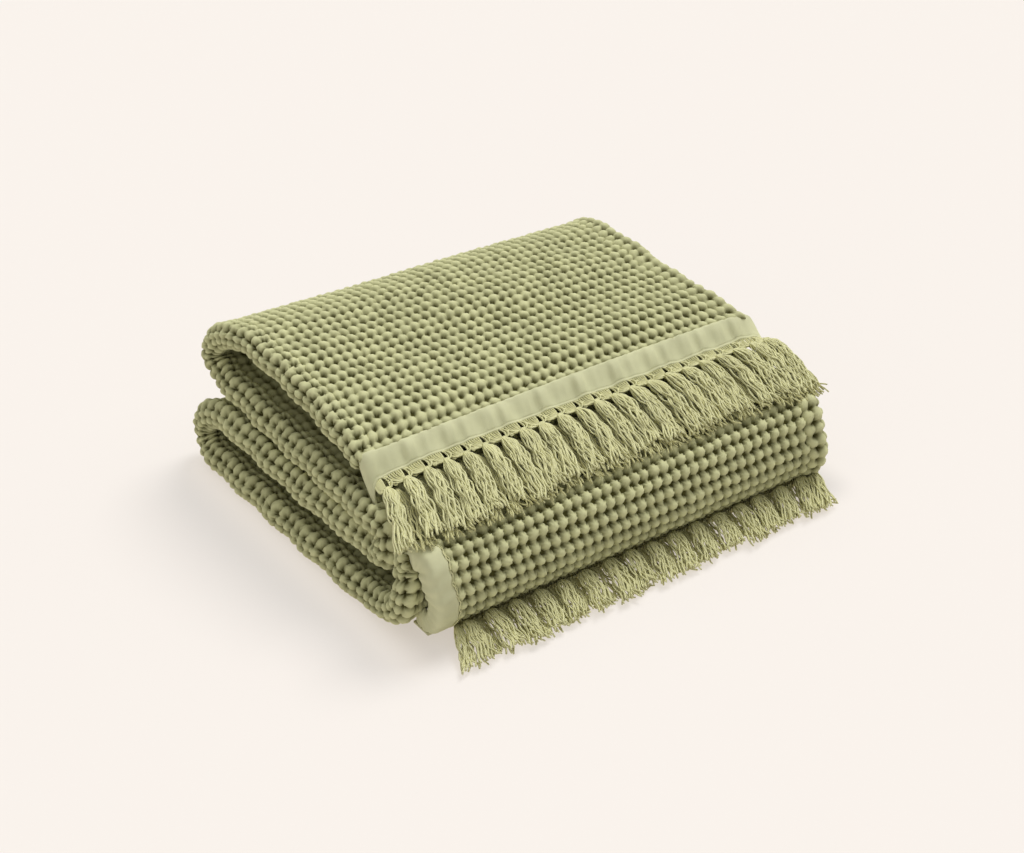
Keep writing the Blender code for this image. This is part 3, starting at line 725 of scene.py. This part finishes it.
# ---- headings and binding -------------------------------------------------------------------
def hem_point(x, below):
    """Points of the top heading, so many millimetres below the cloth's end."""
    x, below = together(x, below)
    start = fold_frame(np.zeros_like(x), (x - HEM_NEAR) / (HEM_FAR - HEM_NEAR))[0]
    slope = math.radians(180 + HEADING_SLOPE)
    near_corner = np.exp(-((x - HEM_NEAR) / CORNER_REACH) ** 2)
    droop = CORNER_DROOP * near_corner * below / HEADING_WIDTH
    pucker = 0.7 * wave(x, PUCKER_PITCH) * np.minimum(1.0, below / HEADING_WIDTH)
    return np.stack([x, start[..., 1] + math.cos(slope) * below,
                     start[..., 2] + math.sin(slope) * below - droop + pucker], -1)


def closed_strip(name, top, bottom, material):
    """A closed strip of cloth from two grids of points, its upper and its lower face."""
    rows, columns = top.shape[:2]
    points = np.concatenate([top.reshape(-1, 3), bottom.reshape(-1, 3)])
    quads = grid_faces(rows, columns)
    lower = quads[:, ::-1] + rows * columns
    a = np.arange(rows * columns).reshape(rows, columns)
    rim = np.concatenate([a[0, :], a[1:, -1], a[-1, -2::-1], a[-2:0:-1, 0]])
    after = np.roll(rim, -1)
    sides = np.stack([after, rim, rim + rows * columns, after + rows * columns], -1)
    made = mesh_object(name, points, [quads, lower, sides], np.ones(len(points)))
    return dress(made, material)


def band_point(x, share, under=0.0):
    """The band's upper face: share goes from its edge on the puffs (0) to its lower edge (1).

    x may go past either end of the cloth: there the band turns down round the corner. under
    is how far below the upper face the point is.
    """
    x, share = together(x, share)
    near, far = HEM_NEAR + BAND_INSET[0], HEM_FAR - BAND_INSET[1]
    radius = np.where(x < 0, *BAND_RADIUS)
    # the near end's two corners are rounded off
    rounded = 1 - np.where(share < 0.5, 0.45, 0.20) * np.abs(2 * share - 1) ** 3
    past = np.maximum(near - x, 0) * rounded + np.maximum(x - far, 0)
    turned = np.minimum(past / radius, np.pi / 2)
    hang = np.maximum(past - radius * np.pi / 2, 0)
    seen_x = np.clip(x, near, far)
    low = blend(*BAND_LOW, (seen_x - HEM_NEAR) / (HEM_FAR - HEM_NEAR))
    down = blend(BAND_TOP, low, share) + 0.7 * past * (x < 0) * share ** 2
    point = hem_point(seen_x, down)
    # drawn in by each tassel: high ridges, shallow dips
    lean = seen_x + down * 0.15
    puckers = (1.05 * wave(lean, TASSEL_PITCH) + 0.35 * wave(lean, TASSEL_PITCH / 2, 1.2)
               + 0.8 * wave(lean, 43.0, 1.0))
    puckers = 0.62 * puckers + 0.38 * np.sqrt(puckers ** 2 + 0.1)
    swell = np.sin(np.pi * np.clip(share, 0, 1)) ** 0.7
    height = blend(*BAND_HEIGHT, ease(share)) + puckers * (0.08 + 0.92 * swell) * 2.1 - under
    # the upper edge stands a little higher at the near end and lies lower at the far one
    height = height + 1.5 * rising(near - x, -16.0, 16.0) * (1 - share)
    height = height - 2.6 * rising(x - far, -4.0, 14.0) * (1 - share)
    height = height + 0.45 * np.exp(-((share - 0.03) / 0.05) ** 2) * wave(seen_x, 9.75)
    # a fold of thread along the seam at the lower edge
    height = height - 0.55 * np.exp(-((share - 0.90) / 0.03) ** 2)
    # corner of the cloth: round over, then straight down
    reach = radius - under
    point[..., 0] = seen_x + np.where(x < 0, -1.0, 1.0) * reach * np.sin(turned)
    drop = reach * (1 - np.cos(turned)) + hang
    point[..., 2] += height * 0.93 - drop - 0.15 * share * past
    point[..., 1] -= height * 0.30
    return point


def make_top_heading(material):
    columns, upper_rows, seam_rows, thickness = 240, 11, 8, 2.0
    x = np.linspace(HEM_NEAR - BAND_PAST[0], HEM_FAR + BAND_PAST[1], columns)[None]
    share = np.concatenate([np.linspace(0, 0.80, upper_rows), np.linspace(0.83, 1.0, seam_rows)])
    share = share[:, None]
    top, bottom = band_point(x, share), band_point(x, share, under=thickness)
    # the lower edge is folded under and rolled
    top[-1] = blend(top[-1], bottom[-1], 0.35)
    return closed_strip("top_heading_band", top, bottom, material)


def binding_outline():
    """The binding's section at the roll's near edge: across it, and out from the middle."""
    width, corner, half, begin = 15.5, 5.5, 10.6, 2.4
    flat = [(value, half) for value in np.linspace(width, begin, 12)]
    turn = np.radians(np.linspace(90, 0, 6)[1:])
    upper = [(begin - corner * math.cos(a), half - corner + corner * math.sin(a)) for a in turn]
    side = [(begin - corner, value)
            for value in np.linspace(half - corner, corner - half, 6)[1:]]
    lower = [(across, -out) for across, out in upper[:-1][::-1]]
    return np.array(flat + upper + side + lower)


def off_roll(rows, across, out):
    """Points off the roll: across from its near edge, and out from the cloth's middle."""
    middle, along, near, _, thick = fold_frame(rows, 0.0)
    normal = np.stack([np.zeros_like(rows), along[..., 1], -along[..., 0]], -1)
    points = middle + normal * (out * np.clip(0.25 + 0.75 * thick, 0, 1))[..., None]
    points[..., 0] = near + across
    return points


def binding_face(rows, outline, level):
    """The binding's face that lies level off its outline."""
    ahead = unit(np.gradient(outline, axis=0))
    grown = outline + np.stack([ahead[:, 1], -ahead[:, 0]], -1) * level
    return off_roll(rows, grown[:, :1], grown[:, 1:])


def make_side_binding(material):
    """A plain strip on the roll's face that turns round its near edge."""
    steps, end_steps, corner_row = 110, 9, 16
    end = ROW["roll, end"] - 0.02
    rows = np.concatenate([np.linspace(BINDING_FIRST, end, steps), np.full(end_steps, end)])
    outline = binding_outline()
    top, bottom = (binding_face(rows, outline, level) for level in (0.9, -1.1))
    # its lower end goes on a little under the roll and is rounded off. Over the roll's top the
    # strip is only on its outer face, and its side begins lower down
    turned = np.radians(np.concatenate([np.zeros(steps), np.linspace(10, 80, end_steps)]))
    inner = np.clip(-outline[:, 1:] / 10.0, 0, 1)
    begun = rising(rows, BINDING_FIRST, 0.22)[None, :, None]
    for face in (top, bottom):
        middle = face.mean(0, keepdims=True)
        face[:] = blend(middle, face, np.cos(turned)[None, :, None] ** 0.5)
        face[..., 2] += 7.5 * inner * rising(rows, ROW["roll, face"] + 0.4, 0.5)
        face[..., 1] += BINDING_END * np.sin(turned)[None]
        face[..., 2] += 1.5 * np.sin(turned)[None]
        held = face[corner_row:corner_row + 1]
        face[corner_row:] = blend(held, face[corner_row:], np.maximum(begun, 0.12))
    run = run_length(cloth_surface(rows, 0.02, -90.0, 11.0)[0])
    across = np.clip(outline[:, 0], -5, 22)[:, None]
    soft = (0.45 * wave(run, 11.5)[None] * np.exp(-((across + 4) / 5.0) ** 2)
            + 0.30 * wave(run, 23.0, 0.8)[None] + 0.30 * wave(run, 14.0, across * 0.2))
    outward = unit(top - bottom)
    for face in (top, bottom):
        face += outward * soft[..., None]
        # the edge that is sewn down is drawn in a little between the rows of puffs
        face[:2, :, 0] += 0.45 * wave(run, ROLL_ROW_PITCH)[None]
    top[0] -= outward[0] * 1.2
    return closed_strip("side_binding_strip", top, bottom, material)


def make_bottom_heading(material):
    columns, rows = 120, 6
    x = np.linspace(FOLD[-1].near + EDGE_WAVE, FOLD[-1].far - EDGE_WAVE, columns)[None]
    y = np.linspace(FLOOR_ROOT_Y + 0.4, FLOOR_ROOT_Y + HEADING_WIDTH, rows)[:, None]
    ripple = 0.4 * wave(x + y, 33.0)
    top, bottom = (np.stack(together(x, y, z), -1)[::-1] for z in (2.4 + ripple, 0.15))
    return closed_strip("bottom_heading_band", top, bottom, material)


# ---- yarns ----------------------------------------------------------------------------------
def tubes(name, paths, radius, material, sides=4, shade_and_tone=1.0):
    """One joined mesh of yarns, a little thinner at their ends: paths is (yarn, point, 3)."""
    paths = np.asarray(paths, float)
    count, steps, _ = paths.shape
    tangent = unit(np.gradient(paths, axis=1), 1e-9)
    up = np.zeros_like(tangent)
    up[..., 2] = 1.0
    up[np.abs(tangent[..., 2]) > 0.9] = (0.0, 1.0, 0.0)
    one = unit(np.cross(tangent, up), 1e-9)
    two = np.cross(one, tangent)
    along = np.linspace(0, 1, steps)
    thin = np.where(along > 0.93, blend(1.0, 0.95, (along - 0.93) / 0.07), 1.0)
    girth = radius * thin[None] * rng.normal(1.0, 0.06, (count, 1))
    spin = 2 * np.pi * np.arange(sides) / sides
    ring = (one[:, :, None] * np.cos(spin)[None, None, :, None]
            + two[:, :, None] * np.sin(spin)[None, None, :, None])
    points = paths[:, :, None] + ring * girth[:, :, None, None]
    offsets = (np.arange(count) * steps * sides)[:, None, None]
    faces = (grid_faces(steps, sides, wrap=True)[None] + offsets).reshape(-1, 4)
    start_cap = np.arange(sides)[::-1][None, None] + offsets
    end_cap = (steps - 1) * sides + np.arange(sides)[None, None] + offsets
    caps = np.concatenate([start_cap, end_cap]).reshape(-1, sides)
    # painted shade: a value below 1 darkens the yarns of a mesh that lies in shade; each yarn also
    # gets a random tone of its own
    tones = np.repeat(np.clip(shade_and_tone + rng.normal(0, 0.12, count), 0, 1.15), steps * sides)
    made = mesh_object(name, points.reshape(-1, 3), [faces, caps], tones)
    return dress(made, material)


def hang_at(x):
    """The row of HANGS at x, blended between its neighbours."""
    stops = [hang.x for hang in HANGS]
    return [np.interp(x, stops, [getattr(hang, field) for hang in HANGS])
            for field in ("aside", "tip_y", "tip_z")]


def tassel_yarns(root, tip, bundle):
    """Yarns of one tassel from its head at root to its tips, as bundle describes it."""
    counts, head, spread = bundle.counts, bundle.head, bundle.spread
    count = sum(counts)
    turn = [side * np.arccos(np.linspace(0.97, -0.97, n)) for side, n in zip((1, 1, -1), counts)]
    turn = (np.concatenate(turn) + rng.normal(0, 0.07, count))[:, None]
    far = (np.repeat([1.0, 0.60, 0.85], counts) * rng.normal(1.0, 0.05, count))[:, None]
    stops = np.cumsum([0.0, 0.17, 0.69, 0.14])
    t = np.concatenate([np.linspace(a, b, n, endpoint=False)
                        for a, b, n in zip(stops, stops[1:], bundle.steps)] + [[1.0]])[None]
    across, high = far * np.cos(turn), far * np.sin(turn)
    begun = np.clip((t - 0.012) / 0.19, 0, 1)
    shoulder = 0.45 * begun * (2 - begun) + 0.55 * ease(begun)
    later = rising(t, 0.2, 0.8)
    reach = rng.normal(1.0, 0.030, count)[:, None]
    line = root[None, None] + (tip - root)[None, None] * (t * reach)[..., None]
    wide = blend(head[0], spread[0], shoulder) + spread[0] * 0.22 * later
    tall = blend(head[1], spread[1], shoulder) - spread[1] * 0.22 * later
    phase = rng.uniform(0, 2 * np.pi, (3, count, 1))
    pitch = rng.uniform(19.0, 31.0, (2, count, 1))
    travel = t * reach * np.linalg.norm(tip - root)
    grow = rising(t, 0.10, 0.34) * bundle.loose
    side = (1.65 * wave(travel, pitch[0], phase[0])
            + 0.40 * wave(travel, pitch[1] * 0.7, phase[1])) * grow
    rise = 0.80 * wave(travel, pitch[1], phase[2]) * grow
    curl = np.clip((t - 0.83) / 0.17, 0, 1) ** 1.6
    side = side + curl * (rng.normal(0, 1.9, (count, 1)) + across * 1.6) * bundle.loose
    rise = rise + curl * rng.normal(0.7, 1.2, (count, 1)) * bundle.loose
    bow = bundle.arch * 4 * t * (1 - t) * (1.25 - 0.5 * t)
    line[..., 0] += across * wide + side
    line[..., 2] += bow + high * tall + rise
    line[..., 1] += 0.30 * side
    return line


def head_point(x):
    """Where the head of the top tassel at x is."""
    return hem_point(x, HEAD_BELOW) + np.array([0.0, 0.0, HEAD_LIFT])


def make_top_fringe(material):
    front, under = [], []
    for index in range(TASSEL_COUNT):
        x = TASSEL_FIRST_X + TASSEL_PITCH * index
        aside, tip_y, tip_z = hang_at(x)
        uneven = 2.2 * (wave(index, 3.7) + 0.6 * wave(index, 2.3, 1.0))
        root = head_point(min(x, LAST_HEAD_X))
        tip = np.array([x + aside + 1.3 * wave(index, 4.4) + rng.normal(0, 1.4),
                        tip_y + uneven, tip_z + uneven / 4])
        splay = 1.0 + 0.15 * (index >= TASSEL_COUNT - 2)
        wide, high = TOP_FRONT.spread
        front.append(tassel_yarns(root, tip, TOP_FRONT._replace(
            spread=(wide * splay, high), arch=rng.uniform(*TOP_FRONT_ARCH), loose=splay)))
        if index == TASSEL_COUNT - 1:
            # the last one falls apart to the side
            front.append(tassel_yarns(root + np.array([2.0, 1.0, -0.5]),
                                      tip + np.array([-3.0, 6.0, -9.0]), TOP_FALLEN))
        # behind and between them hangs a second row, thicker at the far end
        x += TASSEL_PITCH / 2
        aside, tip_y, tip_z = hang_at(x)
        below, bundle = (6.0, TOP_UNDER) if index < TASSEL_COUNT - 3 else (3.4, TOP_UNDER_LAST)
        root = head_point(min(x, 203.0)) + np.array([0, 0.5, -below])
        tip = np.array([min(x, 205.0) + aside + 3.0, tip_y - 5.0, tip_z - 3.4])
        under.append(tassel_yarns(root, tip, bundle))
    # painted shade: the second row's yarns are painted darker
    return [tubes(name, np.concatenate(yarns), radius, material, shade_and_tone=shade_and_tone)
            for name, yarns, radius, shade_and_tone in (("top_tassels_front", front, 0.88, 1.0),
                                              ("top_tassels_under", under, 0.82, 0.45))]


def bezier(p0, p1, p2, p3, steps=13):
    """A cubic curve through p0 and p3, drawn towards the two points between them."""
    t = np.linspace(0, 1, steps)[:, None]
    return (p0 * (1 - t) ** 3 + p1 * 3 * t * (1 - t) ** 2 + p2 * 3 * t * t * (1 - t)
            + p3 * t ** 3)


def shifted(point, across=0.0, down=0.0, out=0.0):
    """point, moved along the hem, down its slope and out of it."""
    return point + ACROSS * across + DOWN * down + OUT * out


def make_loops(material):
    """Shell-like fans of yarn that run to each tassel's head, a ring beside it, its knot."""
    fans, rings, knots = [], [], []
    strands, winds = 8, 3
    turn = np.radians(np.linspace(0, 360, 11))[:, None]
    toward = np.array([0.0, -0.93, -0.36])
    rise = np.array([0.0, -0.36, 0.93])
    for index in range(TASSEL_COUNT):
        x = min(TASSEL_FIRST_X + TASSEL_PITCH * index, LAST_HEAD_X)
        head = head_point(x)
        for share in np.arange(strands) / (strands - 1):
            start_x = x - blend(15.5 if index else 9.0, 0.5, share)
            start = shifted(band_point(start_x, 1.0, under=1.2), down=-0.8)
            one = shifted(start, down=blend(9.5, 3.0, share) * rng.uniform(0.85, 1.15),
                          out=blend(0.6, 2.0, share))
            two = shifted(head, -blend(8.0, 1.5, share), blend(1.2, -1.5, share),
                          blend(0.2, 1.6, share))
            end = shifted(head, across=-1.2, out=0.5) + rng.normal(0, 0.35, 3)
            fans.append(bezier(start, one, two, end) + rng.normal(0, 0.05, 3))
        top = shifted(band_point(x + 3.2, 1.0, under=1.0), down=-0.6)
        rings.append(bezier(shifted(head, 1.0, 0.0, 0.6), shifted(head, 7.8, 0.0, 2.2),
                            shifted(top, 5.6, 3.0, 2.2), top))
        rings.append(bezier(shifted(head, 0.8), shifted(head, 5.0, 0.0, 0.6),
                            shifted(top, 3.0, 3.0, 0.5), shifted(top, -1.2)))
        if index < TASSEL_COUNT - 1:
            small = head_point(x + 9.2) + np.array([0, 2.5, 0.6])
            rings.append(shifted(small, 2.0 * np.cos(turn), 3.2 * np.sin(turn),
                                 0.4 * np.sin(2 * turn)))
            small = shifted(small, -2.6, -2.0)
            rings.append(shifted(small, 1.6 * np.cos(turn), 2.6 * np.sin(turn), -0.5))
        for level in range(winds):
            at = head + toward * (level * 1.15 - 1.0)
            knots.append(at + ACROSS * 2.5 * np.cos(turn) + rise * 2.3 * np.sin(turn))
    return [tubes(name, paths, radius, material, shade_and_tone=shade_and_tone)
            for name, paths, radius, shade_and_tone in (("fringe_fans", resample(fans), 0.92, 0.95),
                                              ("fringe_rings", resample(rings), 0.85, 1.0),
                                              ("fringe_knots", knots, 0.80, 0.95))]


def resample(paths, steps=13):
    """The same paths with the same number of points each, evenly spaced along them."""
    result = []
    for path in paths:
        length = run_length(path)
        stops = np.linspace(0, length[-1], steps)
        result.append(np.stack([np.interp(stops, length, path[:, k]) for k in range(3)], -1))
    return np.array(result)


def make_bottom_fringe(material):
    front, between, loops = [], [], []
    last_index = FLOOR_TASSEL_COUNT - 1
    for index in range(FLOOR_TASSEL_COUNT):
        x = FLOOR_FIRST_X + FLOOR_TASSEL_PITCH * index
        share = index / last_index
        tip_y = blend(*FLOOR_TIP_Y, share)
        tip_y += 2.4 * (wave(index, 3.3, 0.5) + 0.5 * wave(index, 2.1))
        aside = blend(*FLOOR_ASIDE, share) + 3.0 * wave(index, 5.2) + rng.normal(0, 1.2)
        if index == last_index:
            x, aside = x - 8.0, aside - 7.0
        root = np.array([x + rng.normal(0, 1.0), FLOOR_HEAD_Y + rng.normal(0, 1.0), 10.0])
        tip = np.array([x + aside, tip_y, 4.2])
        front.append(tassel_yarns(root, tip, FLOOR_FRONT))
        if index == 0:
            front.append(tassel_yarns(root - np.array([8.0, -1.0, 1.5]),
                                      tip - np.array([17.0, -3.0, 0.6]), FLOOR_CORNER))
        if index < last_index:
            x += FLOOR_TASSEL_PITCH / 2
            between.append(tassel_yarns(np.array([x, FLOOR_HEAD_Y + 4.0, 5.2]),
                                        np.array([x + aside + 3.0, tip_y + 6.0, 2.2]),
                                        FLOOR_BETWEEN))
    turn = np.radians(np.linspace(-80, 200, 9))[:, None]
    first = FLOOR_FIRST_X - 6.0
    last = FLOOR_FIRST_X + FLOOR_TASSEL_PITCH * last_index + 2.0
    for x in np.arange(first, last, 2.7):
        centre = np.array([x, FLOOR_HEAD_Y + 3.5, 8.6]) + rng.normal(0, 0.35, 3)
        size = rng.uniform(0.85, 1.2)
        loops.append(centre + np.array([0.55, 0, 0]) * turn
                     + np.array([0.0, -4.2, -1.0]) * np.cos(turn) * size
                     + np.array([0.0, -0.8, 3.6]) * np.sin(turn) * size)
    # the yarns the loops are drawn from lie side by side behind them
    x = np.linspace(first, last, 110)
    cords = [np.stack([x, y + 0.7 * wave(x + 31 * y, 17.0), z + 0.5 * wave(x + 17 * y, 13.0, 1.0)],
                      -1) for y, z in CORDS]
    made = []
    # painted shade: the yarns between the tassels and the cords behind the loops are painted much
    # darker, the front tassels and the loops a little
    for name, paths, radius, shade_and_tone in (
            ("bottom_tassels_front", np.concatenate(front), 0.84, 0.80),
            ("bottom_tassels_between", np.concatenate(between), 0.84, 0.4),
            ("bottom_loops", np.array(loops), 0.72, 0.85),
            ("bottom_cords", np.array(cords), 2.0, 0.45)):
        paths[..., 2] = np.maximum(paths[..., 2], radius + 0.05)
        made.append(tubes(name, paths, radius, material, shade_and_tone=shade_and_tone))
    return made


def make_binding_chain(material):
    """The raised chain of thread where the binding is sewn down beside the puffs."""
    rows = np.linspace(BINDING_FIRST, ROW["roll, end"] - 0.1, 420)
    run = run_length(cloth_surface(rows, 0.06, -90.0, 11.0)[0])
    paths = []
    for shift in (0.0, 1.15):
        points = off_roll(rows, 15.6 + shift, 11.5 - shift * 0.5)
        points[:, 0] += 0.75 * wave(run, ROLL_ROW_PITCH, shift)
        points[:, 0] += 0.32 * wave(run, 5.4, shift * 2.7)
        paths.append(points)
    return tubes("binding_chain", resample(paths, 300), 0.50, material,
                 sides=5)


# ---- stage ----------------------------------------------------------------------------------
def make_stage():
    h = FLOOR_HALF
    mesh = bpy.data.meshes.new("floor")
    mesh.from_pydata([(-h, -h, 0), (h, -h, 0), (h, h, 0), (-h, h, 0)], [], [(0, 1, 2, 3)])
    floor = bpy.data.objects.new("floor", mesh)
    bpy.context.scene.collection.objects.link(floor)
    material, tree, shader = new_material("pale_floor", Roughness=0.9, Specular_IOR_Level=0.0,
                                          Emission_Strength=1.0)
    # painted light: the pale floor glows, most a little away from the cloth, so that shadows on it
    # stay light and warm. On and just round the block under the cloth the glow is less, a painted
    # contact shadow.
    place = tree.nodes.new("ShaderNodeTexCoord").outputs["Object"]
    for operation, other in (("ABSOLUTE", None), ("SUBTRACT", FOOT_HALF),
                             ("MAXIMUM", (0.0, 0.0, 0.0))):
        place = vector_step(tree, operation, place, other).outputs["Vector"]
    length = vector_step(tree, "LENGTH", place).outputs["Value"]
    away = mapped(tree, length, 0.0, GLOW_REACH, kind="SMOOTHERSTEP")
    # painted contact shadow: less glow on and round the block
    under = mapped(tree, length, 0.0, PAINTED_SHADOW_REACH, PAINTED_SHADOW_GLOW, kind="SMOOTHSTEP")
    glow = scaled(tree, mixed(tree, away, FLOOR_GLOW), under)
    tree.links.new(mixed(tree, away, FLOOR_PAINT), shader.inputs["Base Color"])
    tree.links.new(glow, shader.inputs["Emission Color"])
    mesh.materials.append(material)
    world = bpy.data.worlds.new("studio")
    bpy.context.scene.world = world
    world.use_nodes = True
    background = world.node_tree.nodes["Background"]
    background.inputs["Color"].default_value = (1.0, 1.0, 1.0, 1)
    background.inputs["Strength"].default_value = WORLD_STRENGTH
    for name, toward, strength, angle, colour in SUNS:
        light = bpy.data.lights.new(name, "SUN")
        light.energy = strength
        light.angle = math.radians(angle)
        light.color = colour
        lamp = bpy.data.objects.new(name, light)
        lamp.rotation_euler = Vector(toward).to_track_quat("Z", "Y").to_euler()
        bpy.context.scene.collection.objects.link(lamp)


def make_camera():
    camera = bpy.data.cameras.new("camera")
    camera.lens = 85.0
    camera.sensor_width = 36.0
    camera.sensor_fit = "HORIZONTAL"
    camera.clip_start = 0.05
    seen = bpy.data.objects.new("camera", camera)
    bpy.context.scene.collection.objects.link(seen)
    azimuth, elevation = math.radians(CAMERA_AZIMUTH), math.radians(CAMERA_ELEVATION)
    back = Vector((math.sin(azimuth) * math.cos(elevation),
                   -math.cos(azimuth) * math.cos(elevation), math.sin(elevation)))
    right = Vector((math.cos(azimuth), math.sin(azimuth), 0))
    turned = Matrix((right, back.cross(right), back)).transposed().to_4x4()
    turned.translation = Vector(CAMERA_PLACE)
    seen.matrix_world = turned
    bpy.context.scene.camera = seen
    bpy.context.scene.view_settings.view_transform = "Standard"


def main():
    make_camera()
    weave = cotton("waffle_cotton", SAGE, SAGE_PIT_SHADE, 2600.0, 0.35)
    plain = cotton("plain_cotton", SAGE_PLAIN, SAGE_PIT_SHADE, 3600.0, 0.30)
    yarn = cotton("cotton_yarn", SAGE_YARN, SAGE_YARN_SHADE, 2200.0, 0.15)
    core = make_core(weave)
    puffs = make_weave(weave)
    heading = make_top_heading(plain)
    binding = make_side_binding(plain)
    chain = make_binding_chain(yarn)
    low_heading = make_bottom_heading(plain)
    top_fringe = make_top_fringe(yarn) + make_loops(yarn)
    bottom_fringe = make_bottom_fringe(yarn)
    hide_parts("cloth")
    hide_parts("top_heading")
    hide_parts("side_binding")
    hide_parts("bottom_heading")
    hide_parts("top_fringe")
    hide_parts("bottom_fringe")
    make_stage()


main()
